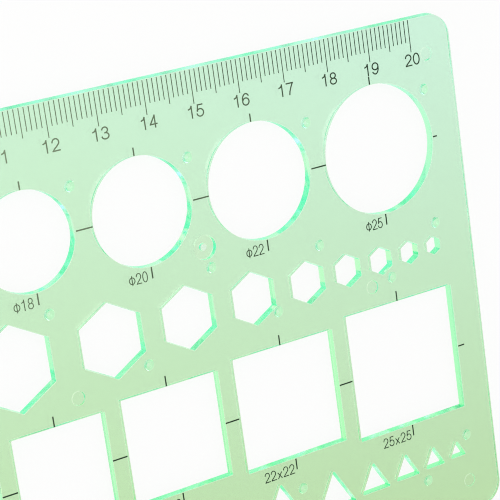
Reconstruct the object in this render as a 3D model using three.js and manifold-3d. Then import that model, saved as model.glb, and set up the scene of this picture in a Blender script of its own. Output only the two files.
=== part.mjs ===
// A drafting template: one moulded sheet of clear tinted plastic, with rows of cut-outs to draw
// round, a centimetre scale printed along one long edge and small domes under it that lift it off
// wet ink. Millimetres. +X runs along the scale, +Y points to the scale's edge, and +Z leaves the
// printed face. The origin is under the middle of the sheet, where the domes meet the paper.

import * as THREE from "three";
import { mergeVertices } from "three/addons/utils/BufferGeometryUtils.js";
import Module from "manifold-3d";

const wasm = await Module();
wasm.setup();

// Sheet. The mould's draft makes the lower face the larger one, so outline sizes are measured there.
const SHEET_WIDTH = 104;
const SHEET_THICKNESS = 1.85;
const CORNER_RADIUS = 4.9;
const CORNER_STEPS = 16; // facets of each corner
const EDGE_DRAFT = 0.28; // how far the outer wall leans in from the lower face to the upper one
const HOLE_DRAFT = 0.1; // how far the wall of a cut-out leans in from the upper face to the lower one
const LEAST_RIM = 4; // plastic left between the last cut-out of a row and the sheet's end

// Printed scale
const SCALE_LENGTH = 200;
const SCALE_END_MARGIN = 10; // sheet beyond each end of the scale
const LINE_STEP = 5; // the long lines of the scale: each whole and each half centimetre
const WHOLE_STEP = 10;
const WHOLE_LINE_LENGTH = 6.4;
const HALF_LINE_LENGTH = 5.4;
const LINE_WIDTH = 0.16;
const LINE_INSET = 0.12; // from the upper face's edge to the start of a line
const INK_THICKNESS = 0.05;

// Rows of cut-outs, counted from the scale's edge: circles, hexagons, squares, triangles
const FIRST_ROW_DROP = 24.1; // from the scale's edge to the circles' centre line
const LAST_ROW_RISE = 13.75; // from the triangles' centre line to the lower edge
const ROW_COUNT = 4;

// Nominal sizes: a circle's diameter, a square's side, a hexagon's width over corners, a triangle's side
const SIZES = [3, 4, 5, 6, 8, 10, 12, 14, 16, 18, 20, 22, 25];
const CIRCLE_SIDES = 96;

// Room for the lead of the pencil between a drawn line and the wall, on each side
const CIRCLE_ALLOWANCE = 0.42;
const SQUARE_ALLOWANCE = 0.6;
const HEXAGON_ALLOWANCE = 0.38;
const TRIANGLE_ALLOWANCE = 0.34;

// Spacing along the rows, between nominal outlines. Circles and squares shrink to the left,
// hexagons and triangles grow to the left and stand further apart as they grow.
const BIG_ROW_MARGIN = 7.6; // from the right-hand end of the sheet to the largest circle or square
const BIG_ROW_WEB = 4.6;
const SMALL_ROW_MARGIN = 8.6; // from the right-hand end of the sheet to the smallest hexagon
const SMALL_ROW_WEBS = [
  { below: 8, web: 2.5 },
  { below: 14, web: 3.45 },
  { below: Infinity, web: 4.7 },
];

// Domes under the sheet. A row's list has one entry for each of its webs, from the rim at the
// right-hand end: lead is to the left of the middle of the web, and rise is from the row's centre
// line towards the scale.
const DOME_DIAMETER = 2.1;
const DOME_HEIGHT = 0.45;
const DOME_CROWN = 0.6; // the flat at the tip, which meets the paper
const DOME_SIDES = 16;
const DOME_STEPS = 3;
const NO_DOME = null;
const CIRCLE_ROW_DOMES = [
  { lead: 1.9, rise: 9.3 },
  { lead: 0.75, rise: 8.5 },
  { lead: 0.9, rise: 7.6 },
  { lead: 0.9, rise: 7.7 },
  { lead: 0.9, rise: 7.6 },
  { lead: 0.9, rise: 7.6 },
  NO_DOME,
  { lead: 0.9, rise: 7.6 },
  NO_DOME,
  { lead: 0.9, rise: 7.6 },
];
const HEXAGON_ROW_DOMES = [
  { lead: 0.85, rise: 4.2 },
  NO_DOME,
  { lead: 0.95, rise: -4.2 },
  NO_DOME,
  { lead: 0.9, rise: 6.3 },
  { lead: 1.2, rise: -4.2 },
  { lead: 0.95, rise: 8 },
  { lead: 1.6, rise: -6.8 },
  { lead: 1.7, rise: 7.85 },
  { lead: 1.6, rise: -8.4 },
  { lead: 1.6, rise: 9 },
  { lead: 1.6, rise: -9.4 },
  { lead: 1.6, rise: 10 },
];
const TRIANGLE_ROW_DOMES = [
  { lead: -0.65, rise: 2.4 },
  NO_DOME,
  { lead: -1.75, rise: -4.35 },
  NO_DOME,
  NO_DOME,
  { lead: 1.2, rise: 3.45 },
  NO_DOME,
  NO_DOME,
  { lead: 0.9, rise: 5 },
  NO_DOME,
  { lead: 0.9, rise: 6 },
  NO_DOME,
  { lead: 0.9, rise: 7 },
];

// Marks that moulding leaves: the well of the gate, in the upper face, with the stub of the runner,
// and the prints of ejector pins in the lower face. Lead and rise are as the domes'.
const GATE_WEB_NUMBER = 2; // in the circles' row
const GATE_LEAD = 0.55;
const GATE_RISE = -9.7;
const GATE_WELL_DIAMETER = 4.7;
const GATE_WELL_DEPTH = 1.1;
const GATE_STUB_DIAMETER = 1.5;
const GATE_STUB_HEIGHT = 0.7;
const PIN_DIAMETER = 2.6;
const PIN_DEPTH = 0.12;
const RIGHT_PIN_WEB_NUMBER = 3; // in the hexagons' row
const RIGHT_PIN_LEAD = -1.5;
const RIGHT_PIN_RISE = -5;
const MIDDLE_PIN_WEB_NUMBER = 8; // in the hexagons' row
const MIDDLE_PIN_LEAD = -1.15;
const MIDDLE_PIN_RISE = -8.9;
const UPPER_PIN_END_INSET = 5.7; // near the corner at the scale: from the right-hand end
const UPPER_PIN_EDGE_INSET = 7.9; // and from the scale's edge
const LOWER_PIN_END_INSET = 7.3; // near the lower corner: from the right-hand end
const LOWER_PIN_EDGE_INSET = 6.3; // and from the lower edge
const ROUND_SIDES = 28; // for the round marks

// Worked out from the sizes above
const SHEET_LENGTH = SCALE_LENGTH + 2 * SCALE_END_MARGIN;
const RIGHT_END = SHEET_LENGTH / 2;
const SCALE_EDGE = SHEET_WIDTH / 2;
const LOWER_EDGE = -SHEET_WIDTH / 2;
const ROW_PITCH = (SHEET_WIDTH - FIRST_ROW_DROP - LAST_ROW_RISE) / (ROW_COUNT - 1);
const LOWER_FACE = DOME_HEIGHT;
const UPPER_FACE = LOWER_FACE + SHEET_THICKNESS;
const CUT_OVERRUN = SHEET_THICKNESS / 4; // a cutter stands this far out of the sheet
const MERGE_DISTANCE = 1e-4; // corners of a solid nearer than this are one
const DOME_ROOT = SHEET_THICKNESS / 4; // a dome starts this deep in the sheet that it grows from

// The centre line of a row, counted from 0 at the circles
function rowHeight(row) {
  return SCALE_EDGE - FIRST_ROW_DROP - row * ROW_PITCH;
}

// A three.js geometry as a closed solid that can be joined and cut
function solidFrom(geometry) {
  const bare = geometry.clone();
  bare.deleteAttribute("normal");
  bare.deleteAttribute("uv");
  const merged = mergeVertices(bare, MERGE_DISTANCE);
  return new wasm.Manifold(
    new wasm.Mesh({
      numProp: 3,
      vertProperties: merged.attributes.position.array,
      triVerts: new Uint32Array(merged.index.array),
    }),
  );
}

function geometryFrom(solid) {
  const { vertProperties, triVerts } = solid.getMesh();
  const geometry = new THREE.BufferGeometry();
  geometry.setAttribute("position", new THREE.BufferAttribute(vertProperties, 3));
  geometry.setIndex(new THREE.BufferAttribute(triVerts, 1));
  return geometry;
}

// The blank of the sheet: a rounded rectangle whose upper outline is drawn in by the edge draft
function sheetBlank() {
  const coreX = SHEET_LENGTH / 2 - CORNER_RADIUS;
  const coreY = SHEET_WIDTH / 2 - CORNER_RADIUS;
  const outline = new THREE.Shape();
  outline.absarc(coreX, coreY, CORNER_RADIUS, 0, Math.PI / 2);
  outline.absarc(-coreX, coreY, CORNER_RADIUS, Math.PI / 2, Math.PI);
  outline.absarc(-coreX, -coreY, CORNER_RADIUS, Math.PI, 1.5 * Math.PI);
  outline.absarc(coreX, -coreY, CORNER_RADIUS, 1.5 * Math.PI, 2 * Math.PI);
  const blank = new THREE.ExtrudeGeometry(outline, {
    depth: SHEET_THICKNESS,
    bevelEnabled: false,
    curveSegments: CORNER_STEPS,
  });
  const corners = blank.attributes.position;
  const shrink = (CORNER_RADIUS - EDGE_DRAFT) / CORNER_RADIUS;
  for (let i = 0; i < corners.count; i++) {
    if (corners.getZ(i) < SHEET_THICKNESS / 2) continue;
    const x = THREE.MathUtils.clamp(corners.getX(i), -coreX, coreX);
    const y = THREE.MathUtils.clamp(corners.getY(i), -coreY, coreY);
    corners.setX(i, x + (corners.getX(i) - x) * shrink);
    corners.setY(i, y + (corners.getY(i) - y) * shrink);
  }
  return solidFrom(blank.translate(0, 0, LOWER_FACE));
}

// Where the cut-outs of a row stand, from the right-hand end as far to the left as the sheet has room.
// webAfter gives the web on the left of a cut-out of that size.
function placeRow(sizes, margin, webAfter) {
  const places = [];
  let edge = RIGHT_END - margin;
  for (const size of sizes) {
    if (edge - size < -RIGHT_END + LEAST_RIM) break;
    places.push({ size, x: edge - size / 2 });
    edge -= size + webAfter(size);
  }
  return places;
}

// The middles of a row's webs, from the rim at the right-hand end to the left
function websOf(places, rimWeb) {
  const first = places[0];
  const middles = [first.x + first.size / 2 + rimWeb / 2];
  for (let i = 1; i < places.length; i++) {
    const rightSide = places[i - 1].x - places[i - 1].size / 2;
    const leftSide = places[i].x + places[i].size / 2;
    middles.push((rightSide + leftSide) / 2);
  }
  return middles;
}

const smallRowWeb = (size) => SMALL_ROW_WEBS.find((step) => size < step.below).web;
const bigRow = placeRow([...SIZES].reverse(), BIG_ROW_MARGIN, () => BIG_ROW_WEB);
const smallRow = placeRow(SIZES, SMALL_ROW_MARGIN, smallRowWeb);
const bigRowWebs = websOf(bigRow, BIG_ROW_WEB);
const smallRowWebs = websOf(smallRow, smallRowWeb(SIZES[0]));

// The four kinds of cut-out. reach is from the centre to the middle of a side, at nominal size.
const CIRCLE = {
  sides: CIRCLE_SIDES,
  turn: 0,
  reach: (size) => size / 2,
  allowance: CIRCLE_ALLOWANCE,
};
const HEXAGON = {
  sides: 6,
  turn: 0,
  reach: (size) => (size / 2) * Math.cos(Math.PI / 6),
  allowance: HEXAGON_ALLOWANCE,
};
const SQUARE = {
  sides: 4,
  turn: Math.PI / 4,
  reach: (size) => size / 2,
  allowance: SQUARE_ALLOWANCE,
};
const TRIANGLE = {
  sides: 3,
  turn: 0,
  reach: (size) => size / (2 * Math.sqrt(3)),
  allowance: TRIANGLE_ALLOWANCE,
};
const ROWS = [
  { kind: CIRCLE, places: bigRow },
  { kind: HEXAGON, places: smallRow },
  { kind: SQUARE, places: bigRow },
  { kind: TRIANGLE, places: smallRow },
];

// A drafted prism through the whole sheet, with one corner towards the scale before its turn
function cutOut(kind, size, x, y) {
  const lean = HOLE_DRAFT / SHEET_THICKNESS;
  const cornerScale = 1 / Math.cos(Math.PI / kind.sides);
  const upper = kind.reach(size) + kind.allowance;
  const top = (upper + lean * CUT_OVERRUN) * cornerScale;
  const bottom = (upper - HOLE_DRAFT - lean * CUT_OVERRUN) * cornerScale;
  const height = SHEET_THICKNESS + 2 * CUT_OVERRUN;
  const start = Math.PI + kind.turn;
  const prism = new THREE.CylinderGeometry(top, bottom, height, kind.sides, 1, false, start);
  return solidFrom(prism.rotateX(Math.PI / 2).translate(x, y, (LOWER_FACE + UPPER_FACE) / 2));
}

// A dome under the sheet, revolved from a circular arc that ends at the flat crown
function dome(x, y) {
  const foot = DOME_DIAMETER / 2;
  const crown = DOME_CROWN / 2;
  const middle = (crown ** 2 + DOME_HEIGHT ** 2 - foot ** 2) / (2 * DOME_HEIGHT);
  const ball = Math.hypot(foot, middle);
  const footAngle = Math.atan2(foot, -middle);
  const crownAngle = Math.atan2(crown, DOME_HEIGHT - middle);
  const profile = [new THREE.Vector2(0, -DOME_ROOT), new THREE.Vector2(foot, -DOME_ROOT)];
  for (let i = 0; i <= DOME_STEPS; i++) {
    const angle = THREE.MathUtils.lerp(footAngle, crownAngle, i / DOME_STEPS);
    profile.push(new THREE.Vector2(ball * Math.sin(angle), middle + ball * Math.cos(angle)));
  }
  profile.push(new THREE.Vector2(0, DOME_HEIGHT));
  const revolved = new THREE.LatheGeometry(profile, DOME_SIDES);
  return solidFrom(revolved.rotateX(-Math.PI / 2).translate(x, y, LOWER_FACE));
}

// A short round post between two heights
function post(diameter, from, to, x, y) {
  const round = new THREE.CylinderGeometry(diameter / 2, diameter / 2, to - from, ROUND_SIDES);
  return solidFrom(round.rotateX(Math.PI / 2).translate(x, y, (from + to) / 2));
}

// The cutter of an ejector pin's print
function pinPrint(x, y) {
  return post(PIN_DIAMETER, LOWER_FACE - CUT_OVERRUN, LOWER_FACE + PIN_DEPTH, x, y);
}

function joinAll(solids) {
  return solids.reduce((whole, solid) => whole.add(solid));
}

function domesOfRow(domes, webs, row) {
  const stands = (place, web) => place !== NO_DOME && web < webs.length;
  return domes.flatMap((place, web) =>
    stands(place, web) ? [dome(webs[web] - place.lead, rowHeight(row) + place.rise)] : [],
  );
}

// The gate's well, which is cut, and the stub in it, which grows from the lower face
function gateMark() {
  const x = bigRowWebs.at(GATE_WEB_NUMBER) - GATE_LEAD;
  const y = rowHeight(0) + GATE_RISE;
  const wellFloor = UPPER_FACE - GATE_WELL_DEPTH;
  return {
    well: post(GATE_WELL_DIAMETER, wellFloor, UPPER_FACE + CUT_OVERRUN, x, y),
    stub: post(GATE_STUB_DIAMETER, LOWER_FACE, wellFloor + GATE_STUB_HEIGHT, x, y),
  };
}

// The sheet: blank, moulding marks and domes first, then every cut-out right through
function buildSheet() {
  const domes = [
    ...domesOfRow(CIRCLE_ROW_DOMES, bigRowWebs, 0),
    ...domesOfRow(HEXAGON_ROW_DOMES, smallRowWebs, 1),
    ...domesOfRow(TRIANGLE_ROW_DOMES, smallRowWebs, 3),
  ];
  const gate = gateMark();
  const pinPrints = [
    pinPrint(smallRowWebs.at(RIGHT_PIN_WEB_NUMBER) - RIGHT_PIN_LEAD, rowHeight(1) + RIGHT_PIN_RISE),
    pinPrint(smallRowWebs.at(MIDDLE_PIN_WEB_NUMBER) - MIDDLE_PIN_LEAD, rowHeight(1) + MIDDLE_PIN_RISE),
    pinPrint(RIGHT_END - UPPER_PIN_END_INSET, SCALE_EDGE - UPPER_PIN_EDGE_INSET),
    pinPrint(RIGHT_END - LOWER_PIN_END_INSET, LOWER_EDGE + LOWER_PIN_EDGE_INSET),
  ];
  const cutOuts = ROWS.flatMap(({ kind, places }, row) =>
    places.map(({ size, x }) => cutOut(kind, size, x, rowHeight(row))),
  );
  return sheetBlank()
    .subtract(gate.well)
    .add(gate.stub)
    .subtract(joinAll(pinPrints))
    .add(joinAll(domes))
    .subtract(joinAll(cutOuts));
}

// One printed line of the scale, a film of ink on the upper face
function scaleLine(millimetre) {
  const length = millimetre % WHOLE_STEP === 0 ? WHOLE_LINE_LENGTH : HALF_LINE_LENGTH;
  const line = new THREE.BoxGeometry(LINE_WIDTH, length, INK_THICKNESS);
  const x = millimetre - SCALE_LENGTH / 2;
  const y = SCALE_EDGE - EDGE_DRAFT - LINE_INSET - length / 2;
  return line.translate(x, y, UPPER_FACE + INK_THICKNESS / 2);
}

const template = new THREE.Group();
template.name = "drafting_template";

function addPart(name, geometry, finish) {
  const part = new THREE.Mesh(geometry, new THREE.MeshStandardMaterial(finish));
  part.name = name;
  template.add(part);
}

const TINTED_PLASTIC = { color: 0xc6e9c4, roughness: 0.12, metalness: 0, transparent: true, opacity: 0.6 };
const DARK_INK = { color: 0x3c463c, roughness: 0.7, metalness: 0 };

addPart("template_sheet", geometryFrom(buildSheet()), TINTED_PLASTIC);
for (let millimetre = 0; millimetre <= SCALE_LENGTH; millimetre += LINE_STEP) {
  const name = `scale_line_${String(millimetre).padStart(3, "0")}mm`;
  addPart(name, scaleLine(millimetre), DARK_INK);
}

export default template;
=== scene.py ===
"""Looks of a drafting template: one moulded sheet of clear green plastic with printed ink on it.

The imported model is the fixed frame. A finer sheet takes the place of the CAD solid, the ink that the
solids leave out is printed on it, and a plain white studio stands round it. Sizes are in millimetres,
and a mesh turns them into metres as it is made. X runs along the scale, Y points to the scale's edge.
"""

import logging
import math
from collections.abc import Iterable, Mapping, Sequence
from dataclasses import dataclass, field
from enum import Enum, IntEnum
from typing import Any

import bmesh
import bpy
from mathutils import Matrix, Vector
from mathutils.geometry import delaunay_2d_cdt


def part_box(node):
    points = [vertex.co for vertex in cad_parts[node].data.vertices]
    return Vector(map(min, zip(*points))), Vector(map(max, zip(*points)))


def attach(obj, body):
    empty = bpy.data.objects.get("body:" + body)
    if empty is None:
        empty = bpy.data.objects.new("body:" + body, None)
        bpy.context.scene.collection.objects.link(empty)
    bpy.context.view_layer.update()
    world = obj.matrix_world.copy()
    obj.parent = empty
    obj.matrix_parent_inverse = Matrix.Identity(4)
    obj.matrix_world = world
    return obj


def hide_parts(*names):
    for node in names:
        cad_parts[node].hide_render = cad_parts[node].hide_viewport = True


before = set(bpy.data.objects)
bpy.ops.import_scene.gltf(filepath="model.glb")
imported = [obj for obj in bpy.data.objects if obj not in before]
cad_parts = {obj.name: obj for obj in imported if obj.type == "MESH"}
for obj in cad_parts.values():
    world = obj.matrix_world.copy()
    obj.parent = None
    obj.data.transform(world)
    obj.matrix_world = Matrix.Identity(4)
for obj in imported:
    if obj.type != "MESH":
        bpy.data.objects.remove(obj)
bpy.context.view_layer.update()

MM = 0.001
BODY = "root"
SHEET_NODE = "template_sheet"
LINE_NODE = "scale_line_{:03d}mm"
LOG = logging.getLogger("drafting_template")

# Points of a flat face, and of printed strokes, that are nearer than this are one
FACE_MERGE = 1e-6
INK_MERGE = 1e-5
# Blender's number for a triangulation that leaves out what lies outside the given lines
INSIDE_LINES = 1
# A stroke is closed if its ends are nearer than this share of its width
CLOSED_WITHIN = 0.01
# The least cosine of half a bend that the mitre of a stroke is worked out from
MITRE_LIMIT = 0.5

Pair = tuple[float, float]
Point = tuple[float, float]
Place = tuple[float, float, float]
Colour = tuple[float, float, float, float]
# A place by a row of cut-outs: the number of a web, how far left of its middle, how far towards the scale
WebPlace = tuple[int, float, float]
Tree = bpy.types.NodeTree
Socket = bpy.types.NodeSocket


def linear_colour(hex_colour: str) -> Colour:
    """Turn an sRGB hex colour into a linear one.

    Args:
        hex_colour: six hex digits after a hash sign.

    Returns:
        Linear red, green and blue, and an alpha of 1.
    """
    shares = [int(hex_colour[i : i + 2], 16) / 255 for i in (1, 3, 5)]
    linear = [s / 12.92 if s <= 0.04045 else ((s + 0.055) / 1.055) ** 2.4 for s in shares]
    return (linear[0], linear[1], linear[2], 1.0)


def add_object(name: str, data: bpy.types.ID) -> bpy.types.Object:
    """Add an object to the scene.

    Args:
        name: the object's name.
        data: its mesh, lamp or camera.

    Returns:
        The object.
    """
    made = bpy.data.objects.new(name, data)
    bpy.context.scene.collection.objects.link(made)
    return made


def empty_material(name: str) -> bpy.types.Material:
    """Make a material whose node tree is empty.

    Args:
        name: the material's name.

    Returns:
        The material.
    """
    material = bpy.data.materials.new(name)
    material.use_nodes = True
    material.node_tree.nodes.clear()
    return material


def add_node(
    tree: Tree, kind: str, inputs: Mapping[str | int, Any] | None = None, **settings: Any
) -> bpy.types.NodeOutputs:
    """Add a node to a tree, with its settings, input values and links.

    Args:
        tree: the tree that gets the node.
        kind: Blender's name for the kind of node.
        inputs: a value, or an output socket to link, for each named or numbered input.
        settings: the node's own properties.

    Returns:
        The outputs of the new node.
    """
    node = tree.nodes.new(kind)
    for name, value in settings.items():
        setattr(node, name, value)
    for name, value in (inputs or {}).items():
        if isinstance(value, Socket):
            tree.links.new(value, node.inputs[name])
        else:
            node.inputs[name].default_value = value
    return node.outputs


def seen_share(tree: Tree) -> Socket:
    """Give 1 to what the camera sees, by itself or in or through the plastic, and 0 to other light.

    Args:
        tree: the tree of a material or of the world.

    Returns:
        The share.
    """
    path = add_node(tree, "ShaderNodeLightPath")
    seen = path["Is Camera Ray"]
    for other in ("Is Glossy Ray", "Is Transmission Ray"):
        seen = add_node(tree, "ShaderNodeMath", {0: seen, 1: path[other]}, operation="MAXIMUM")[0]
    return seen


class Axis(Enum):
    """The axes of the sheet's own frame, with Blender's names for them."""

    ALONG_SCALE = "X"
    TO_SCALE = "Y"
    UP = "Z"


def fade(tree: Tree, place: Socket, axis: Axis, start: float, end: float) -> Socket:
    """Give a share that grows along an axis.

    Args:
        tree: the material's tree.
        place: the point in the sheet's own frame.
        axis: the axis.
        start: where the share is 0.
        end: where it is 1.

    Returns:
        The share.
    """
    along = add_node(tree, "ShaderNodeSeparateXYZ", {0: place})[axis.value]
    ends = {"From Min": start * MM, "From Max": end * MM}
    return add_node(tree, "ShaderNodeMapRange", {"Value": along, **ends})["Result"]


def relief(tree: Tree, place: Socket, size: float, height: float, strength: float) -> Socket:
    """Give a surface soft waves without a pattern.

    Args:
        tree: the material's tree.
        place: the point in the sheet's own frame.
        size: the size of a wave.
        height: its height.
        strength: how much of it shows.

    Returns:
        The normal.
    """
    wave = add_node(tree, "ShaderNodeTexNoise", {"Vector": place, "Scale": 1 / (size * MM)})[0]
    inputs = {"Strength": strength, "Distance": height * MM, "Height": wave}
    return add_node(tree, "ShaderNodeBump", inputs)[0]


class Blend(Enum):
    """How a layer of colour meets what is under it, with Blender's word for it."""

    COVER = "MIX"
    STAIN = "MULTIPLY"


@dataclass(frozen=True)
class Layer:
    """A layer of colour, with its share at each point."""

    share: Socket
    colour: str | Socket
    blend: Blend = Blend.COVER


def layered(tree: Tree, base: str, *layers: Layer) -> Socket:
    """Lay colours over one another.

    Args:
        tree: the material's tree.
        base: the lowest colour.
        layers: the layers on it, from the lowest.

    Returns:
        The colour that comes of it.
    """
    colour = linear_colour(base)
    for layer in layers:
        over = layer.colour if isinstance(layer.colour, Socket) else linear_colour(layer.colour)
        inputs = {"Factor": layer.share, "A": colour, "B": over}
        settings = {"data_type": "RGBA", "blend_type": layer.blend.value}
        colour = add_node(tree, "ShaderNodeMix", inputs, **settings)["Result"]
    return colour


@dataclass(frozen=True)
class SheetMasks:
    """Where a point is on the sheet, as sockets of the plastic's tree.

    Attributes:
        place: the point in the sheet's own frame.
        gentle: 0 on the walls, and 1 on the rims and faces.
        flat: 1 on the faces alone.
        dome: 1 on the domes.
        torn: 1 where the runner was torn off the gate's stub.
    """

    place: Socket
    gentle: Socket
    flat: Socket
    dome: Socket
    torn: Socket


@dataclass(frozen=True)
class ClearGreenAcrylic:
    """Clear green acrylic, injection moulded in a polished tool.

    The dye takes out red and some blue on the way through, so a short way through the sheet looks pale and
    the long way that light is piped to a wall looks saturated. The skin is glossy, with faint flow waves.
    The walls also carry a painted glow and painted tints for piped light, the rims a painted highlight, and
    the faces and domes painted shade.
    """

    half_width: float
    lower_face: float
    torn_place: Place
    # Tints of the faces, which turn deeper away from the scale as painted shade,
    # and a painted shade that turns them yellower to the left
    near_scale: str = "#d8f4e0"
    far_from_scale: str = "#c4dfac"
    left_cast: str = "#fffff6"
    cast_starts: float = 100.0
    cast_full: float = 20.0
    # Tints of the walls, painted for the light piped to them and deeper away from the scale as painted
    # shade, a painted highlight on their rims, painted shade on the domes, and the tear
    wall_near_scale: str = "#daffd8"
    wall_far_from_scale: str = "#b2ffa8"
    rim_tint: str = "#faffea"
    dome: str = "#c6ffcb"
    torn: str = "#ffffff"
    # The dye inside the sheet, and a painted glow on the walls for the light piped along the sheet to them
    dye: str = "#37fff2"
    dye_per_metre: float = 36.0
    edge_glow: str = "#00ffa0"
    no_glow: str = "#000000"
    edge_glow_strength: float = 0.07
    # How much a surface faces up or down where walls turn into rims, and rims into faces
    steep: float = 0.12
    gentle: float = 0.3
    nearly_level: float = 0.8
    flat: float = 0.94
    # The share of the lower face's height under which the finish of a dome is full
    dome_full: float = 0.9
    # The tear on the stub: its reach, the share of it that is torn all over, and its fibres
    torn_reach: float = 0.85
    torn_core: float = 0.5
    torn_fibre: float = 0.5
    average_noise: float = 0.5
    # Gloss, and the patches where it is rubbed, from a low value of their noise to a high one
    ior: float = 1.49
    roughness: float = 0.02
    wall_roughness: float = 0.18
    dome_roughness: float = 0.12
    torn_roughness: float = 0.4
    scuff_roughness: float = 0.035
    scuff_size: float = 3.0
    scuff_detail: float = 4.0
    scuff_starts: float = 0.45
    scuff_full: float = 0.8
    # Faint long waves that the melt leaves as it flows
    flow_wave: float = 9.0
    flow_wave_height: float = 0.004
    flow_wave_strength: float = 0.5

    def material(self) -> bpy.types.Material:
        """Build the plastic's nodes, with its dye as absorption inside the sheet.

        Returns:
            The material.
        """
        made = empty_material("acrylic_clear_green_moulded")
        tree = made.node_tree
        masks = self.masks(tree)
        waves = relief(tree, masks.place, self.flow_wave, self.flow_wave_height, self.flow_wave_strength)
        plastic = add_node(
            tree,
            "ShaderNodeBsdfPrincipled",
            {
                "Base Color": self.tint(tree, masks),
                "Roughness": self.skin(tree, masks),
                "IOR": self.ior,
                "Transmission Weight": 1.0,
                "Normal": waves,
                # Painted light: the walls glow green in place of light piped along the sheet
                "Emission Color": self.glow(tree, masks),
                "Emission Strength": self.edge_glow_strength,
            },
        )
        # Lamps shine through the sheet, so that its shadow is a pale green one
        open_way = add_node(tree, "ShaderNodeBsdfTransparent", {"Color": linear_colour(self.near_scale)})
        shadow = add_node(tree, "ShaderNodeLightPath")["Is Shadow Ray"]
        surface = add_node(tree, "ShaderNodeMixShader", {0: shadow, 1: plastic[0], 2: open_way[0]})
        stain = {"Color": linear_colour(self.dye), "Density": self.dye_per_metre}
        inside = add_node(tree, "ShaderNodeVolumeAbsorption", stain)
        add_node(tree, "ShaderNodeOutputMaterial", {"Surface": surface[0], "Volume": inside[0]})
        return made

    def masks(self, tree: Tree) -> SheetMasks:
        """Tell the parts of the sheet apart by their place and by the way that the surface faces.

        Args:
            tree: the material's tree.

        Returns:
            The masks.
        """
        place = add_node(tree, "ShaderNodeTexCoord")["Object"]
        normal = add_node(tree, "ShaderNodeNewGeometry")["Normal"]
        facing = add_node(tree, "ShaderNodeSeparateXYZ", {0: normal})["Z"]
        level = add_node(tree, "ShaderNodeMath", {0: facing}, operation="ABSOLUTE")[0]
        # The tear has a ragged border, because the distance from its middle is multiplied by a noise
        middle = tuple(value * MM for value in self.torn_place)
        away = add_node(tree, "ShaderNodeVectorMath", {0: place, 1: middle}, operation="DISTANCE")["Value"]
        noise = {"Vector": place, "Scale": 1 / (self.torn_fibre * MM)}
        fibre = add_node(tree, "ShaderNodeTexNoise", noise)[0]
        ragged = add_node(tree, "ShaderNodeMath", {0: away, 1: fibre}, operation="MULTIPLY")[0]
        border = self.torn_reach * MM * self.average_noise
        ranges = {
            "gentle": (level, self.steep, self.gentle),
            "flat": (level, self.nearly_level, self.flat),
            "torn": (ragged, border, border * self.torn_core),
        }
        shares = {"dome": fade(tree, place, Axis.UP, self.lower_face, self.lower_face * self.dome_full)}
        for name, (value, none, full) in ranges.items():
            inputs = {"Value": value, "From Min": none, "From Max": full}
            shares[name] = add_node(tree, "ShaderNodeMapRange", inputs)["Result"]
        return SheetMasks(place=place, **shares)

    def glow(self, tree: Tree, masks: SheetMasks) -> Socket:
        """Paint a green glow on the walls, in place of the light that is piped along the sheet to them.

        Args:
            tree: the material's tree.
            masks: the parts of the sheet.

        Returns:
            The colour of the painted glow, which is black on the faces and from inside.
        """
        inside = add_node(tree, "ShaderNodeNewGeometry")["Backfacing"]
        dark = add_node(tree, "ShaderNodeMath", {0: masks.gentle, 1: inside}, operation="MAXIMUM")[0]
        return layered(tree, self.edge_glow, Layer(dark, self.no_glow))

    def tint(self, tree: Tree, masks: SheetMasks) -> Socket:
        """Tint each part of the sheet, with painted shade deepening the faces and walls away from the
        scale.

        Args:
            tree: the material's tree.
            masks: the parts of the sheet.

        Returns:
            The colour of the surface.
        """
        # Painted shade: the faces and walls turn deeper away from the scale, and the faces yellower to the
        # left
        across = fade(tree, masks.place, Axis.TO_SCALE, self.half_width, -self.half_width)
        leftward = fade(tree, masks.place, Axis.ALONG_SCALE, self.cast_starts, self.cast_full)
        cast = Layer(leftward, self.left_cast, Blend.STAIN)
        face = layered(tree, self.near_scale, Layer(across, self.far_from_scale), cast)
        return layered(
            tree,
            # Painted light: the walls are tinted for the light piped to them, deeper away from the scale
            self.wall_near_scale,
            Layer(across, self.wall_far_from_scale),
            # Painted highlight: the rims are tinted pale, as if they caught the light
            Layer(masks.gentle, self.rim_tint),
            Layer(masks.flat, face),
            # Painted shade: the domes are tinted mint, for the shaded paper seen through them
            Layer(masks.dome, self.dome),
            Layer(masks.torn, self.torn),
        )

    def skin(self, tree: Tree, masks: SheetMasks) -> Socket:
        """Give the gloss faint duller patches where hands and paper have rubbed it, and frost the walls.

        Args:
            tree: the material's tree.
            masks: the parts of the sheet.

        Returns:
            The roughness.
        """
        noise = {"Vector": masks.place, "Scale": 1 / (self.scuff_size * MM), "Detail": self.scuff_detail}
        rubbed = {
            "Value": add_node(tree, "ShaderNodeTexNoise", noise)[0],
            "From Min": self.scuff_starts,
            "From Max": self.scuff_full,
            "To Min": self.roughness,
            "To Max": self.scuff_roughness,
        }
        layers = [
            (masks.gentle, add_node(tree, "ShaderNodeMapRange", rubbed)["Result"]),
            (masks.dome, self.dome_roughness),
            (masks.torn, self.torn_roughness),
        ]
        rough = self.wall_roughness
        for share, over in layers:
            inputs = {"Value": share, "To Min": rough, "To Max": over}
            rough = add_node(tree, "ShaderNodeMapRange", inputs)["Result"]
        return rough


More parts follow.
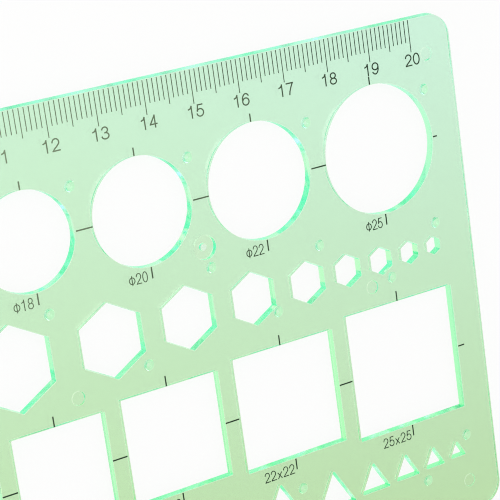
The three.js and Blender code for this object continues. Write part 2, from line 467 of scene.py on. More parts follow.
@dataclass(frozen=True)
class ScreenPrintedInk:
    """Dark green-black ink, screen printed and baked: a dull film with uneven cover."""

    # The darkest ink, and the palest that it turns to
    thick: str = "#0c2c12"
    thin: str = "#7c8e70"
    # The ink is paler from the first place to the second, along the scale and then towards it
    thin_from: float = 90.0
    thin_to: float = 0.0
    thick_below: float = -15.0
    thin_above: float = 35.0
    patch_size: float = 1.6
    patch_detail: float = 3.0
    patch_strength: float = 0.3
    least_dull: float = 0.45
    dullest: float = 0.7
    ior: float = 1.5
    shine: float = 0.25
    # The screen's mesh is finer than this, and is drawn coarser so that it shows
    mesh_spacing: float = 0.35
    mesh_height: float = 0.01
    mesh_strength: float = 0.3

    def material(self) -> bpy.types.Material:
        """Build the ink's nodes.

        Returns:
            The material.
        """
        made = empty_material("ink_screen_printed")
        tree = made.node_tree
        place = add_node(tree, "ShaderNodeTexCoord")["Object"]
        noise = {"Vector": place, "Scale": 1 / (self.patch_size * MM), "Detail": self.patch_detail}
        patch = {"Value": add_node(tree, "ShaderNodeTexNoise", noise)[0]}
        dullness = {"To Min": self.least_dull, "To Max": self.dullest}
        dull = add_node(tree, "ShaderNodeMapRange", patch | dullness)
        spread = {"To Min": -self.patch_strength, "To Max": self.patch_strength}
        uneven = add_node(tree, "ShaderNodeMapRange", patch | spread)
        # The ink is paler towards the left of the sheet and towards the scale
        leftward = fade(tree, place, Axis.ALONG_SCALE, self.thin_from, self.thin_to)
        upward = fade(tree, place, Axis.TO_SCALE, self.thick_below, self.thin_above)
        paling = {0: leftward, 1: upward, 2: uneven["Result"]}
        paleness = add_node(tree, "ShaderNodeMath", paling, operation="MULTIPLY_ADD")[0]
        film = add_node(
            tree,
            "ShaderNodeBsdfPrincipled",
            {
                "Base Color": layered(tree, self.thick, Layer(paleness, self.thin)),
                "Roughness": dull["Result"],
                "IOR": self.ior,
                "Specular IOR Level": self.shine,
                "Normal": relief(tree, place, self.mesh_spacing, self.mesh_height, self.mesh_strength),
            },
        )
        add_node(tree, "ShaderNodeOutputMaterial", {"Surface": film[0]})
        return made


@dataclass(frozen=True)
class StudioPaper:
    """White background paper, which shows as white and keeps a faint shadow."""

    paper: str = "#f2f2ef"
    roughness: float = 0.9
    shown_white: float = 0.86

    def material(self) -> bpy.types.Material:
        """Build the paper's nodes.

        Returns:
            The material.
        """
        made = empty_material("paper_white_matt")
        tree = made.node_tree
        parts = {0: seen_share(tree), 1: self.shown_white}
        share = add_node(tree, "ShaderNodeMath", parts, operation="MULTIPLY")
        matt = {"Base Color": linear_colour(self.paper), "Roughness": self.roughness}
        lit = add_node(tree, "ShaderNodeBsdfPrincipled", matt)
        white = add_node(tree, "ShaderNodeEmission", {"Strength": 1.0})
        both = add_node(tree, "ShaderNodeMixShader", {0: share[0], 1: lit[0], 2: white[0]})
        add_node(tree, "ShaderNodeOutputMaterial", {"Surface": both[0]})
        return made


@dataclass(frozen=True)
class Corner:
    """One round corner of an outline: the centre of its arc, and the directions that the arc spans."""

    x: float
    y: float
    start: float
    sweep: float


@dataclass(frozen=True)
class RoundOutline:
    """A closed outline of arcs with one radius, joined by straight stretches."""

    corners: tuple[Corner, ...]
    radius: float
    steps: int

    def directions(self) -> list[tuple[Corner, Vector]]:
        """Follow the outline anticlockwise.

        Returns:
            Each point's corner, and the direction that the outline faces there.
        """
        found = []
        for corner in self.corners:
            whole_turn = math.isclose(corner.sweep, math.tau)
            for i in range(self.steps if whole_turn else self.steps + 1):
                angle = corner.start + corner.sweep * i / self.steps
                found.append((corner, Vector((math.cos(angle), math.sin(angle)))))
        return found

    def ring(self, grow: float) -> list[Point]:
        """Give the outline's points, anticlockwise, with the outline moved outwards by grow."""
        reach = self.radius + grow
        return [(c.x + reach * out.x, c.y + reach * out.y) for c, out in self.directions()]


class Side(IntEnum):
    """The side of an outline or a radius, with its sign."""

    OUTER = 1
    INNER = -1


@dataclass(frozen=True)
class ProfilePoint:
    """A point of a revolved profile, and how much the surface there faces out from the axis and up."""

    radius: float
    height: float
    out: float
    up: float


class MeshDraft:
    """A mesh while it is drawn: points in millimetres, their normals, and faces that are flat or smooth."""

    def __init__(self) -> None:
        """Start with nothing drawn."""
        self.points: list[Vector] = []
        self.normals: list[Vector] = []
        self.faces: list[Sequence[int]] = []
        self.smooth: list[bool] = []

    def ring(self, points: Iterable[Point], height: float, normals: Iterable[Vector]) -> list[int]:
        """Add a level ring of points.

        Args:
            points: the ring's places.
            height: its height.
            normals: the direction that the surface faces at each place.

        Returns:
            The numbers of the new points.
        """
        first = len(self.points)
        self.points.extend(Vector((x, y, height)) for x, y in points)
        self.normals.extend(normals)
        return list(range(first, len(self.points)))

    def face(self, corners: Sequence[int], smooth: bool = False) -> None:
        """Add one face by the numbers of its points, smooth if it is part of a round surface."""
        self.faces.append(corners)
        self.smooth.append(smooth)

    def band(self, first: Sequence[int], second: Sequence[int]) -> None:
        """Join two rings of as many points by a smooth band.

        Args:
            first: one ring.
            second: the other.
        """
        for i in range(len(first)):
            j = (i + 1) % len(first)
            self.face((first[i], first[j], second[j], second[i]), smooth=True)

    def fill(self, border: Sequence[int], holes: Sequence[Sequence[int]]) -> None:
        """Fill the flat region between a border and convex holes.

        Args:
            border: the ring round the region.
            holes: the rings that stay open.
        """
        rings = [border, *holes]
        order = [number for ring in rings for number in ring]
        owner = [which for which, ring in enumerate(rings) for _ in ring]
        edges = []
        start = 0
        for ring in rings:
            count = len(ring)
            edges.extend((start + i, start + (i + 1) % count) for i in range(count))
            start += count
        flat = [self.points[number].xy for number in order]
        _, _, triangles, sources, _, _ = delaunay_2d_cdt(flat, edges, [], INSIDE_LINES, FACE_MERGE)
        for triangle in triangles:
            corners = [sources[corner][0] for corner in triangle]
            owners = {owner[corner] for corner in corners}
            inside_hole = len(owners) == 1 and owners != {0}
            if not inside_hole:
                self.face([order[corner] for corner in corners])

    def revolve(self, x: float, y: float, profile: Sequence[ProfilePoint], sides: int) -> list[int]:
        """Turn a profile about an upright axis and close its last ring.

        Args:
            x: the axis's place.
            y: the axis's place.
            profile: the points from the outer ring to the last one.
            sides: how many points a ring has.

        Returns:
            The numbers of the outer ring's points.
        """
        outline = RoundOutline((Corner(x, y, 0.0, math.tau),), 0.0, sides)
        outs = [out for _, out in outline.directions()]
        rings = []
        for point in profile:
            normals = [Vector((out.x * point.out, out.y * point.out, point.up)) for out in outs]
            rings.append(self.ring(outline.ring(point.radius), point.height, normals))
        for upper, lower in zip(rings, rings[1:]):
            self.band(upper, lower)
        self.face(rings[-1])
        return rings[0]

    def piece(self, name: str, material: bpy.types.Material) -> bpy.types.Object:
        """Make the object, in metres, with its faces turned outwards.

        Args:
            name: the object's name.
            material: its material.

        Returns:
            The object, linked to the scene.
        """
        mesh = bpy.data.meshes.new(name)
        mesh.from_pydata([point * MM for point in self.points], [], self.faces)
        mesh.polygons.foreach_set("use_smooth", self.smooth)
        drawn = bmesh.new()
        drawn.from_mesh(mesh)
        bmesh.ops.recalc_face_normals(drawn, faces=drawn.faces)
        drawn.to_mesh(mesh)
        drawn.free()
        mesh.normals_split_custom_set_from_vertices([normal.normalized() for normal in self.normals])
        mesh.materials.append(material)
        return add_object(name, mesh)


class CutOutKind(Enum):
    """The kinds of cut-out, each with its count of sides; a circle has none."""

    CIRCLE = 0
    TRIANGLE = 3
    SQUARE = 4
    HEXAGON = 6


@dataclass(frozen=True)
class CutOut:
    """One cut-out: its kind, nominal size and centre."""

    kind: CutOutKind
    size: float
    x: float
    y: float


@dataclass
class CutOutRow:
    """A row of cut-outs of one kind, from the right-hand end of the sheet to the left.

    Each web is given after a size that the cut-out on its right is smaller than. The allowance is the room
    for a pencil lead all round a nominal outline.
    """

    kind: CutOutKind
    allowance: float
    sizes: Sequence[float]
    margin: float
    right_end: float
    height: float
    webs: Sequence[Pair]
    least_rim: float = 4.0
    cut_outs: list[CutOut] = field(init=False)

    def __post_init__(self) -> None:
        """Place the cut-outs, as many as the sheet has room for."""
        self.cut_outs = []
        edge = self.right_end - self.margin
        for size in self.sizes:
            if edge - size < self.least_rim - self.right_end:
                break
            self.cut_outs.append(CutOut(self.kind, size, edge - size / 2, self.height))
            edge -= size + self.web_after(size)

    def web_after(self, size: float) -> float:
        """Give the web on the left of a cut-out of that size."""
        return next(web for below, web in self.webs if size < below)

    def web_middle(self, number: int) -> float:
        """Find the middle of a web.

        Args:
            number: the web's number, where 0 is the rim at the right-hand end.

        Returns:
            Its place along the scale.
        """
        if number == 0:
            first = self.cut_outs[0]
            return first.x + first.size / 2 + self.web_after(first.size) / 2
        right, left = self.cut_outs[number - 1], self.cut_outs[number]
        return (right.x - right.size / 2 + left.x + left.size / 2) / 2

    def at(self, place: WebPlace) -> Point:
        """Give the place beside a web."""
        web, lead, rise = place
        return self.web_middle(web) - lead, self.height + rise


@dataclass
class TemplateSheet:
    """The moulded sheet, drawn finer than its CAD solid and in the same place."""

    lower_face: float = 0.45
    ink_gap: float = 0.005
    corner_radius: float = 4.9
    corner_steps: int = 24
    edge_draft: float = 0.28
    hole_draft: float = 0.1
    rim: float = 0.16
    rim_steps: int = 5
    hole_corner: float = 0.22
    hole_corner_steps: int = 5
    circle_steps_per_mm: float = 6.0
    least_circle_steps: int = 48
    # Rows of cut-outs from the scale downwards, with their allowances
    allowances: tuple[tuple[CutOutKind, float], ...] = (
        (CutOutKind.CIRCLE, 0.36),
        (CutOutKind.HEXAGON, 0.32),
        (CutOutKind.SQUARE, 0.53),
        (CutOutKind.TRIANGLE, 0.28),
    )
    first_row_drop: float = 24.1
    last_row_rise: float = 13.75
    sizes: tuple[float, ...] = (3, 4, 5, 6, 8, 10, 12, 14, 16, 18, 20, 22, 25)
    big_row_margin: float = 7.6
    big_row_webs: tuple[Pair, ...] = ((math.inf, 4.6),)
    small_row_margin: float = 8.6
    small_row_webs: tuple[Pair, ...] = ((8, 2.5), (14, 3.45), (math.inf, 4.7))
    # Domes under the sheet
    dome_diameter: float = 2.1
    dome_crown: float = 0.6
    dome_root: float = 0.08
    dome_rings: int = 6
    circle_domes: tuple[WebPlace, ...] = (
        (0, 1.9, 9.3), (1, 0.75, 8.5), (2, 0.9, 7.6), (3, 0.9, 7.7), (4, 0.9, 7.6), (5, 0.9, 7.6),
        (7, 0.9, 7.6), (9, 0.9, 7.6),
    )
    hexagon_domes: tuple[WebPlace, ...] = (
        (0, 0.85, 4.2), (2, 0.95, -4.2), (4, 0.9, 6.3), (5, 1.2, -4.2), (6, 0.95, 8.0), (7, 1.6, -6.8),
        (8, 1.7, 7.85), (9, 1.6, -8.4), (10, 1.6, 9.0), (11, 1.6, -9.4), (12, 1.6, 10.0),
    )
    triangle_domes: tuple[WebPlace, ...] = (
        (0, -0.65, 2.4), (2, -1.75, -4.35), (5, 1.2, 3.45), (8, 0.9, 5.0), (10, 0.9, 6.0), (12, 0.9, 7.0),
    )
    # Marks of the mould: the gate by the circles, and ejector pins by the hexagons and near two corners
    round_sides: int = 40
    gate: WebPlace = (2, 0.55, -9.7)
    gate_diameter: float = 4.7
    gate_depth: float = 1.1
    gate_rim: float = 0.15
    stub_diameter: float = 1.5
    stub_height: float = 0.7
    stub_foot: float = 0.12
    stub_tip: float = 0.5
    pin_diameter: float = 2.6
    pin_depth: float = 0.12
    pin_rim: float = 0.2
    hexagon_pins: tuple[WebPlace, ...] = ((3, -1.5, -5.0), (8, -1.15, -8.9))
    upper_pin_insets: Pair = (5.7, 7.9)
    lower_pin_insets: Pair = (7.3, 6.3)
    # Sizes that come from the frame, and the rows that are laid out by them
    right_end: float = field(init=False)
    scale_edge: float = field(init=False)
    lower_edge: float = field(init=False)
    paper: float = field(init=False)
    upper_face: float = field(init=False)
    rows: dict[CutOutKind, CutOutRow] = field(init=False)

    def __post_init__(self) -> None:
        """Take the sheet's outer sizes from its CAD node and lay out the rows."""
        low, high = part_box(SHEET_NODE)
        self.right_end = high.x / MM
        self.scale_edge = high.y / MM
        self.lower_edge = low.y / MM
        self.paper = low.z / MM
        self.upper_face = high.z / MM - self.ink_gap
        drop = self.scale_edge - self.lower_edge - self.first_row_drop - self.last_row_rise
        self.rows = {}
        for number, (kind, allowance) in enumerate(self.allowances):
            big = kind in (CutOutKind.CIRCLE, CutOutKind.SQUARE)
            self.rows[kind] = CutOutRow(
                kind=kind,
                allowance=allowance,
                sizes=self.sizes[::-1] if big else self.sizes,
                margin=self.big_row_margin if big else self.small_row_margin,
                right_end=self.right_end,
                height=self.scale_edge - self.first_row_drop - number * drop / (len(self.allowances) - 1),
                webs=self.big_row_webs if big else self.small_row_webs,
            )

    def dome_places(self) -> list[Point]:
        """Place the domes under the sheet.

        Returns:
            Their middles.
        """
        domes = {
            CutOutKind.CIRCLE: self.circle_domes,
            CutOutKind.HEXAGON: self.hexagon_domes,
            CutOutKind.TRIANGLE: self.triangle_domes,
        }
        return [self.rows[kind].at(place) for kind, places in domes.items() for place in places]

    def pin_places(self) -> list[Point]:
        """Place the prints that the ejector pins left.

        Returns:
            Their middles.
        """
        upper_end, upper_edge = self.upper_pin_insets
        lower_end, lower_edge = self.lower_pin_insets
        return [
            *(self.rows[CutOutKind.HEXAGON].at(place) for place in self.hexagon_pins),
            (self.right_end - upper_end, self.scale_edge - upper_edge),
            (self.right_end - lower_end, self.lower_edge + lower_edge),
        ]

    def sheet_outline(self) -> RoundOutline:
        """Draw the sheet's outline with its four round corners.

        Returns:
            The outline at the lower face, which the mould's draft makes the larger one.
        """
        across = self.right_end - self.corner_radius
        up = self.scale_edge - self.corner_radius
        quarter = math.pi / 2
        signs = [(1, 1), (-1, 1), (-1, -1), (1, -1)]
        corners = [Corner(x * across, y * up, i * quarter, quarter) for i, (x, y) in enumerate(signs)]
        return RoundOutline(tuple(corners), self.corner_radius, self.corner_steps)

    def hole_outline(self, cut: CutOut) -> RoundOutline:
        """Give the outline of a cut-out at the upper face.

        Args:
            cut: the cut-out.

        Returns:
            A circle, or a polygon with slightly round corners.
        """
        allowance = self.rows[cut.kind].allowance
        if cut.kind is CutOutKind.CIRCLE:
            steps = max(self.least_circle_steps, round(cut.size * self.circle_steps_per_mm))
            return RoundOutline((Corner(cut.x, cut.y, 0.0, math.tau),), cut.size / 2 + allowance, steps)
        half = math.pi / cut.kind.value
        reach = {
            CutOutKind.TRIANGLE: cut.size / (2 * math.sqrt(3)),
            CutOutKind.SQUARE: cut.size / 2,
            CutOutKind.HEXAGON: cut.size / 2 * math.cos(half),
        }[cut.kind]
        turn = half if cut.kind is CutOutKind.SQUARE else 0.0
        away = (reach + allowance - self.hole_corner) / math.cos(half)
        corners = []
        for number in range(cut.kind.value):
            towards = math.pi / 2 + turn + 2 * half * number
            centre = Vector((cut.x, cut.y)) + away * Vector((math.cos(towards), math.sin(towards)))
            corners.append(Corner(centre.x, centre.y, towards - half, 2 * half))
        return RoundOutline(tuple(corners), self.hole_corner, self.hole_corner_steps)

    def wall(
        self, draft: MeshDraft, outline: RoundOutline, upper: float, lower: float, facing: Side
    ) -> tuple[list[int], list[int]]:
        """Draw a wall from the upper face to the lower one, with a small round at each rim.

        Args:
            draft: the mesh.
            outline: the wall's outline.
            upper: how far the outline is moved outwards at the upper face.
            lower: how far it is moved outwards at the lower face.
            facing: the side that the wall faces, which is the inner one in a cut-out.

        Returns:
            The ring in the upper face and the ring in the lower face.
        """
        lean = math.atan2(abs(upper - lower), self.upper_face - self.lower_face)
        upright = math.pi / 2 - lean
        rims = [
            (upper, self.upper_face - self.rim, 0.0, upright),
            (lower, self.lower_face + self.rim, upright, math.pi),
        ]
        rings = []
        for grow, middle, start, end in rims:
            for step in range(self.rim_steps + 1):
                turn = start + (end - start) * step / self.rim_steps
                moved = grow - facing * self.rim * (1 - math.sin(turn))
                height = middle + self.rim * math.cos(turn)
                outs = [facing * math.sin(turn) * out for _, out in outline.directions()]
                normals = [Vector((out.x, out.y, math.cos(turn))) for out in outs]
                rings.append(draft.ring(outline.ring(moved), height, normals))
        for first, second in zip(rings, rings[1:]):
            draft.band(first, second)
        return rings[0], rings[-1]

    def dome(self, draft: MeshDraft, x: float, y: float) -> list[int]:
        """Draw a dome under the sheet.

        Args:
            draft: the mesh.
            x: the dome's place.
            y: the dome's place.

        Returns:
            The ring round its foot.
        """
        foot = self.dome_diameter / 2
        crown = self.dome_crown / 2
        height = self.lower_face - self.paper
        middle = (crown**2 + height**2 - foot**2) / (2 * height)
        ball = math.hypot(foot, middle)
        foot_angle = math.atan2(foot, -middle)
        crown_angle = math.atan2(crown, height - middle)
        profile = [ProfilePoint(foot + self.dome_root, self.lower_face, 0.0, -1.0)]
        for step in range(self.dome_rings + 1):
            angle = foot_angle + (crown_angle - foot_angle) * step / self.dome_rings
            out, down = math.sin(angle), math.cos(angle)
            profile.append(ProfilePoint(ball * out, self.lower_face - (middle + ball * down), out, -down))
        return draft.revolve(x, y, profile, self.round_sides)

    def stub_top(self) -> Place:
        """Give the middle of the top of the gate's stub."""
        x, y = self.rows[CutOutKind.CIRCLE].at(self.gate)
        return (x, y, self.upper_face - self.gate_depth + self.stub_height)

    def gate_mark(self, draft: MeshDraft) -> list[int]:
        """Draw the well of the gate with the runner's stub in it.

        Args:
            draft: the mesh.

        Returns:
            The well's rim.
        """
        x, y, top = self.stub_top()
        well, stub = self.gate_diameter / 2, self.stub_diameter / 2
        floor = self.upper_face - self.gate_depth
        # Each round joins a level stretch and an upright one. It has the radius of the upright stretch, the
        # height of the level one, its own size, the side of that radius where the level stretch lies, and
        # the side that the upright stretch faces
        rounds = [
            (well, self.upper_face, self.gate_rim, Side.OUTER, Side.INNER),
            (well, floor, self.gate_rim, Side.INNER, Side.INNER),
            (stub, floor, self.stub_foot, Side.OUTER, Side.OUTER),
            (stub, top, self.stub_tip, Side.INNER, Side.OUTER),
        ]
        profile = []
        for radius, height, size, side, facing in rounds:
            for step in range(self.rim_steps + 1):
                turn = math.pi / 2 * step / self.rim_steps
                out, up = math.sin(turn), math.cos(turn)
                # The profile runs inwards, so an inner level stretch comes after the upright one
                if side is Side.INNER:
                    out, up = up, out
                across = radius + side * size * (1 - out)
                rise = side * facing * size * (1 - up)
                profile.append(ProfilePoint(across, height + rise, facing * out, up))
        return draft.revolve(x, y, profile, self.round_sides)

    def pin_print(self, draft: MeshDraft, x: float, y: float) -> list[int]:
        """Draw the shallow round print of an ejector pin.

        Args:
            draft: the mesh.
            x: the print's place.
            y: the print's place.

        Returns:
            The print's rim.
        """
        radius = self.pin_diameter / 2
        ceiling = self.lower_face + self.pin_depth
        profile = [
            ProfilePoint(radius + self.pin_rim, self.lower_face, 0.0, -1.0),
            ProfilePoint(radius, self.lower_face + self.pin_depth / 2, -1.0, -1.0),
            ProfilePoint(radius - self.pin_rim, ceiling, 0.0, -1.0),
        ]
        return draft.revolve(x, y, profile, self.round_sides)

    def build(self, material: bpy.types.Material) -> bpy.types.Object:
        """Draw the whole sheet, which takes the place of its CAD node.

        Args:
            material: the plastic.

        Returns:
            The sheet.
        """
        draft = MeshDraft()
        outline = self.sheet_outline()
        upper_border, lower_border = self.wall(draft, outline, -self.edge_draft, 0.0, Side.OUTER)
        upper_rims, lower_rims = [], []
        for row in self.rows.values():
            for cut in row.cut_outs:
                outline = self.hole_outline(cut)
                upper, lower = self.wall(draft, outline, 0.0, -self.hole_draft, Side.INNER)
                upper_rims.append(upper)
                lower_rims.append(lower)
        upper_rims.append(self.gate_mark(draft))
        lower_rims.extend(self.dome(draft, x, y) for x, y in self.dome_places())
        lower_rims.extend(self.pin_print(draft, x, y) for x, y in self.pin_places())
        draft.fill(upper_border, upper_rims)
        draft.fill(lower_border, lower_rims)
        piece = draft.piece("moulded_sheet", material)
        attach(piece, BODY)
        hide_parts(SHEET_NODE)
        return piece


@dataclass(frozen=True)
class Lettering:
    """Sizes of printed figures: their height and width, the stroke, and the step from one to the next."""

    height: float
    width: float
    stroke: float
    step: float

    def length(self, words: str) -> float:
        """Give the printed length of some figures."""
        return self.step * (len(words) - 1) + self.width


def arc(
    x: float, y: float, across: float, up: float, start: float, end: float, most: float = 12.0
) -> list[Point]:
    """Give points along an upright ellipse.

    Args:
        x: its centre.
        y: its centre.
        across: its half width.
        up: its half height.
        start: the first direction in degrees.
        end: the last direction in degrees.
        most: the most degrees from one point to the next.

    Returns:
        The points.
    """
    count = math.ceil(abs(end - start) / most)
    angles = [math.radians(start + (end - start) * i / count) for i in range(count + 1)]
    return [(x + across * math.cos(a), y + up * math.sin(a)) for a in angles]


def figure_strokes() -> dict[str, list[list[Point]]]:
    """Draw plain sans figures.

    Returns:
        The centre lines of each figure, in a box of 1 by 1.
    """
    two = arc(0.5, 0.7, 0.48, 0.3, 172, -28) + [(0.62, 0.36), (0.22, 0.16), (0.02, 0.0)]
    six = [arc(0.5, 0.31, 0.5, 0.31, 0, 360), arc(0.56, 0.45, 0.56, 0.55, 180, 42)]
    return {
        "0": [arc(0.5, 0.5, 0.5, 0.5, 0, 360)],
        "1": [[(0.14, 0.76), (0.42, 0.82), (0.6, 1.0)], [(0.6, 1.0), (0.6, 0.0)]],
        "2": [two, [(0.0, 0.0), (1.0, 0.0)]],
        "3": [arc(0.48, 0.76, 0.42, 0.24, 165, -90), arc(0.48, 0.26, 0.52, 0.26, 90, -168)],
        "4": [[(0.74, 1.0), (0.74, 0.0)], [(0.74, 1.0), (0.0, 0.27)], [(0.0, 0.27), (1.0, 0.27)]],
        "5": [[(0.9, 1.0), (0.2, 1.0)], [(0.2, 1.0), (0.08, 0.48)], arc(0.48, 0.32, 0.52, 0.32, 142, -165)],
        "6": six,
        "7": [[(0.0, 1.0), (1.0, 1.0)], [(1.0, 1.0), (0.66, 0.6), (0.44, 0.26), (0.36, 0.0)]],
        "8": [arc(0.5, 0.76, 0.42, 0.24, 0, 360), arc(0.5, 0.26, 0.5, 0.26, 0, 360)],
        "9": [[(1 - x, 1 - y) for x, y in line] for line in six],
        "Φ": [arc(0.42, 0.42, 0.6, 0.32, 0, 360), [(0.42, -0.02), (0.42, 0.88)]],
        "x": [[(0.1, 0.0), (0.9, 0.62)], [(0.1, 0.62), (0.9, 0.0)]],
    }


@dataclass
class PrintBed:
    """What the print needs to know: the ink, the film's heights and the place of the scale."""

    ink: bpy.types.Material
    last_line: int = 200
    bottom: float = field(init=False)
    top: float = field(init=False)
    line_start: float = field(init=False)
    line_width: float = field(init=False)
    zero: float = field(init=False)
    pitch: float = field(init=False)

    def __post_init__(self) -> None:
        """Read the film's heights and the scale's places from its printed lines in the frame."""
        low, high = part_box(LINE_NODE.format(0))
        far_low, far_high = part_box(LINE_NODE.format(self.last_line))
        self.bottom = low.z / MM
        self.top = high.z / MM
        self.line_start = high.y / MM
        self.line_width = (high.x - low.x) / MM
        self.zero = (low.x + high.x) / 2 / MM
        self.pitch = ((far_low.x + far_high.x) / 2 / MM - self.zero) / self.last_line


class InkFilm:
    """Printed strokes, which run together into one thin film of ink."""

    def __init__(self) -> None:
        """Start with a clean screen."""
        self.figures = figure_strokes()
        self.corners: list[Vector] = []
        self.quads: list[tuple[int, int, int, int]] = []

    def stroke(self, line: Sequence[Point], width: float, overrun: float = 0.0) -> None:
        """Print a stroke along a line.

        Args:
            line: the points of its centre line, closed if the last is the first.
            width: the stroke's width.
            overrun: how far it runs past its two ends.
        """
        points = [Vector(point) for point in line]
        closed = (points[0] - points[-1]).length < width * CLOSED_WITHIN
        steps = [(after - before).normalized() for before, after in zip(points, points[1:])]
        if not closed:
            points[0] = points[0] - overrun * steps[0]
            points[-1] = points[-1] + overrun * steps[-1]
        first = len(self.corners)
        for i, point in enumerate(points):
            before = steps[i - 1] if i > 0 or closed else steps[0]
            after = steps[i % len(steps)] if i < len(steps) or closed else steps[-1]
            along = (before + after).normalized()
            side = width / 2 / max(along.dot(after), MITRE_LIMIT) * Vector((-along.y, along.x))
            self.corners.extend((point + side, point - side))
        for i in range(len(points) - 1):
            left = first + 2 * i
            self.quads.append((left, left + 1, left + 3, left + 2))

    def words(self, words: str, left: float, foot: float, lettering: Lettering) -> None:
        """Print a row of figures.

        Args:
            words: the figures.
            left: where the first one starts.
            foot: the line that they stand on.
            lettering: their sizes.
        """
        half = lettering.stroke / 2
        across = lettering.width - lettering.stroke
        up = lettering.height - lettering.stroke
        for number, figure in enumerate(words):
            start = left + number * lettering.step + half
            for line in self.figures[figure]:
                placed = [(start + x * across, foot + half + y * up) for x, y in line]
                self.stroke(placed, lettering.stroke, overrun=half)

    def piece(self, name: str, bed: PrintBed) -> bpy.types.Object:
        """Make the film, merged where its strokes cross.

        Args:
            name: the object's name.
            bed: the heights of the film and its ink.

        Returns:
            The film.
        """
        result = delaunay_2d_cdt(self.corners, [], self.quads, INSIDE_LINES, INK_MERGE)
        flat, _, faces, _, _, sources = result
        inked = [face for face, source in zip(faces, sources) if source]
        draft = MeshDraft()
        places = [(point.x, point.y) for point in flat]
        top = draft.ring(places, bed.top, [Vector((0, 0, 1)) for _ in places])
        bottom = draft.ring(places, bed.bottom, [Vector((0, 0, -1)) for _ in places])
        sides = {(face[i], face[(i + 1) % len(face)]) for face in inked for i in range(len(face))}
        for face in inked:
            draft.face([top[corner] for corner in face])
            draft.face([bottom[corner] for corner in reversed(face)])
        for start, end in sorted(sides):
            if (end, start) not in sides:
                draft.face((bottom[start], bottom[end], top[end], top[start]))
        piece = draft.piece(name, bed.ink)
        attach(piece, BODY)
        return piece


@dataclass
class PrintedScale:
    """The printed scale: its millimetre lines and numerals, beside the longer lines of the frame."""

    bed: PrintBed
    short_line: float = 4.4
    long_step: int = 5
    numeral_step: int = 10
    numeral_drop: float = 9.05
    numeral_shift: float = 0.1
    lettering: Lettering = Lettering(height=2.4, width=1.62, stroke=0.25, step=1.92)

    def build(self) -> list[bpy.types.Object]:
        """Print the millimetre lines and the numerals, and ink the frame's own lines.

        Returns:
            The two films.
        """
        lines, numerals = InkFilm(), InkFilm()
        top = self.bed.line_start
        for millimetre in range(self.bed.last_line + 1):
            x = self.bed.zero + millimetre * self.bed.pitch
            if millimetre % self.long_step:
                lines.stroke([(x, top), (x, top - self.short_line)], self.bed.line_width)
            if millimetre % self.numeral_step == 0:
                words = str(millimetre // self.numeral_step)
                left = x + self.numeral_shift - self.lettering.length(words) / 2
                numerals.words(words, left, top - self.numeral_drop, self.lettering)
        for millimetre in range(0, self.bed.last_line + 1, self.long_step):
            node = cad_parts[LINE_NODE.format(millimetre)]
            node.data.materials.clear()
            node.data.materials.append(self.bed.ink)
        return [
            lines.piece("millimetre_lines", self.bed),
            numerals.piece("scale_numerals", self.bed),
        ]


@dataclass
class CutOutMarks:
    """The printed centre marks round a row of cut-outs and the captions that give their sizes.

    The print sits a little beside the cut-outs: by a slip that the photograph shows for the largest ones,
    and by a common one for the rest.
    """

    bed: PrintBed
    row: CutOutRow
    name: str
    caption: str
    lettering: Lettering
    slips: Mapping[float, float]
    common_slip: float
    drop: float
    reach: float
    end_reach: float
    web_gaps: Pair
    caption_gap: float
    caption_drop: float
    rim_gap: float = 0.12
    line_width: float = 0.27

    def build(self) -> list[bpy.types.Object]:
        """Print the marks and the captions.

        Returns:
            The two films.
        """
        marks, captions = InkFilm(), InkFilm()
        middle = self.row.height - self.drop
        for cut in self.row.cut_outs:
            x = cut.x + self.slips.get(cut.size, self.common_slip)
            hole = cut.size / 2 + self.row.allowance + self.rim_gap
            outer = cut.size / 2 + self.reach
            marks.stroke([(x, cut.y + hole), (x, middle + outer)], self.line_width)
            marks.stroke([(x, cut.y - hole), (x, middle - outer)], self.line_width)
            words = self.caption.format(f"{cut.size:g}")
            left = x - self.caption_gap - self.lettering.length(words)
            captions.words(words, left, middle - outer - self.caption_drop, self.lettering)
        for right, left in zip(self.row.cut_outs, self.row.cut_outs[1:]):
            start = left.x + left.size / 2 + self.row.allowance + self.web_gaps[0]
            end = right.x - right.size / 2 - self.row.allowance - self.web_gaps[1]
            marks.stroke([(start, middle), (end, middle)], self.line_width)
        first = self.row.cut_outs[0]
        edge = first.x + first.size / 2
        start = edge + self.row.allowance + self.rim_gap
        marks.stroke([(start, middle), (edge + self.end_reach, middle)], self.line_width)
        return [
            marks.piece(f"{self.name}_centre_marks", self.bed),
            captions.piece(f"{self.name}_captions", self.bed),
        ]


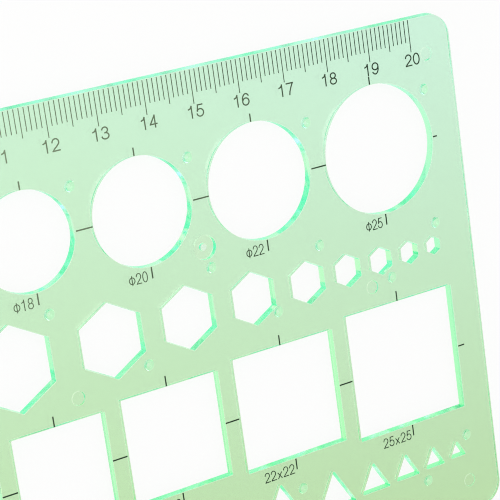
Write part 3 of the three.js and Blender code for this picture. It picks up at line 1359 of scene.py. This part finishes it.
@dataclass
class Studio:
    """A white paper floor, soft light from all round with one large lamp, and the camera."""

    floor_half: float = 3000.0
    sky_colour: str = "#ffffff"
    sky: float = 0.75
    shown_sky: float = 1.0
    lamp_place: Place = (-260.0, 420.0, 700.0)
    lamp_size: float = 600.0
    lamp_watts: float = 2.9
    camera_place: Place = (-124.63, 102.554, 314.686)
    camera_aim: Place = (57.433, 15.397, 2.3)
    camera_roll: float = 103.825
    lens: float = 141.4
    sensor: float = 36.0
    nearest_seen: float = 1.0
    bounces: int = 48
    sharpness: float = 1.1

    def build(self) -> None:
        """Set up the floor, the light and the camera."""
        self.floor()
        self.world()
        self.lamp()
        self.camera()
        scene = bpy.context.scene
        scene.view_settings.view_transform = "Standard"
        scene.cycles.filter_width = self.sharpness
        # Light is piped a long way between the faces of the sheet before a wall lets it out
        scene.cycles.max_bounces = self.bounces
        scene.cycles.glossy_bounces = self.bounces
        scene.cycles.transmission_bounces = self.bounces

    def floor(self) -> None:
        """Lay the paper under the domes."""
        half = self.floor_half * MM
        mesh = bpy.data.meshes.new("paper_floor")
        corners = [(-half, -half, 0.0), (half, -half, 0.0), (half, half, 0.0), (-half, half, 0.0)]
        mesh.from_pydata(corners, [], [(0, 1, 2, 3)])
        mesh.materials.append(StudioPaper().material())
        floor = add_object("paper_floor", mesh)

    def world(self) -> None:
        """Light the room evenly, and show white where the floor ends."""
        world = bpy.data.worlds.new("white_room")
        world.use_nodes = True
        tree = world.node_tree
        tree.nodes.clear()
        shown = {"Value": seen_share(tree), "To Min": self.sky, "To Max": self.shown_sky}
        strength = add_node(tree, "ShaderNodeMapRange", shown)["Result"]
        sky = {"Color": linear_colour(self.sky_colour), "Strength": strength}
        light = add_node(tree, "ShaderNodeBackground", sky)
        add_node(tree, "ShaderNodeOutputWorld", {"Surface": light[0]})
        bpy.context.scene.world = world

    def lamp(self) -> None:
        """Hang one large soft lamp behind the scale's edge."""
        data = bpy.data.lights.new("soft_lamp", "AREA")
        data.size = self.lamp_size * MM
        data.energy = self.lamp_watts
        lamp = add_object("soft_lamp", data)
        lamp.location = Vector(self.lamp_place) * MM
        lamp.rotation_euler = (-lamp.location).to_track_quat("-Z", "Y").to_euler()

    def camera(self) -> None:
        """Stand the camera where the photograph was taken from."""
        data = bpy.data.cameras.new("camera")
        data.lens = self.lens
        data.sensor_width = self.sensor
        data.clip_start = self.nearest_seen * MM
        camera = add_object("camera", data)
        place = Vector(self.camera_place) * MM
        aim = Vector(self.camera_aim) * MM - place
        roll = Matrix.Rotation(math.radians(self.camera_roll), 4, "Z")
        turned = aim.to_track_quat("-Z", "Y").to_matrix().to_4x4() @ roll
        camera.matrix_world = Matrix.Translation(place) @ turned
        bpy.context.scene.camera = camera


def main() -> None:
    """Build the template and its studio, and report each piece."""
    logging.basicConfig(level=logging.INFO, format="%(message)s")
    sheet = TemplateSheet()
    plastic = ClearGreenAcrylic(
        half_width=sheet.scale_edge, lower_face=sheet.lower_face, torn_place=sheet.stub_top()
    )
    bed = PrintBed(ScreenPrintedInk().material())
    circle_marks = CutOutMarks(
        bed,
        sheet.rows[CutOutKind.CIRCLE],
        name="circle",
        caption="Φ{0}",
        lettering=Lettering(height=2.1, width=1.12, stroke=0.175, step=1.33),
        slips={25: -0.65, 22: -0.32, 20: -0.1, 18: 0.17},
        common_slip=0.0,
        drop=0.3,
        reach=2.35,
        end_reach=1.45,
        web_gaps=(0.3, 0.2),
        caption_gap=1.0,
        caption_drop=0.35,
    )
    square_marks = CutOutMarks(
        bed,
        sheet.rows[CutOutKind.SQUARE],
        name="square",
        caption="{0}x{0}",
        lettering=Lettering(height=2.05, width=1.2, stroke=0.175, step=1.43),
        slips={25: -0.5, 22: -0.75, 20: -0.75, 18: -0.85},
        common_slip=-0.7,
        drop=0.1,
        reach=2.78,
        end_reach=2.15,
        web_gaps=(0.02, 0.45),
        caption_gap=0.6,
        caption_drop=0.65,
    )
    pieces = [
        sheet.build(plastic.material()),
        *PrintedScale(bed).build(),
        *circle_marks.build(),
        *square_marks.build(),
    ]
    for piece in pieces:
        LOG.info("%s: %d faces", piece.name, len(piece.data.polygons))
    Studio().build()


if __name__ == "__main__":
    main()
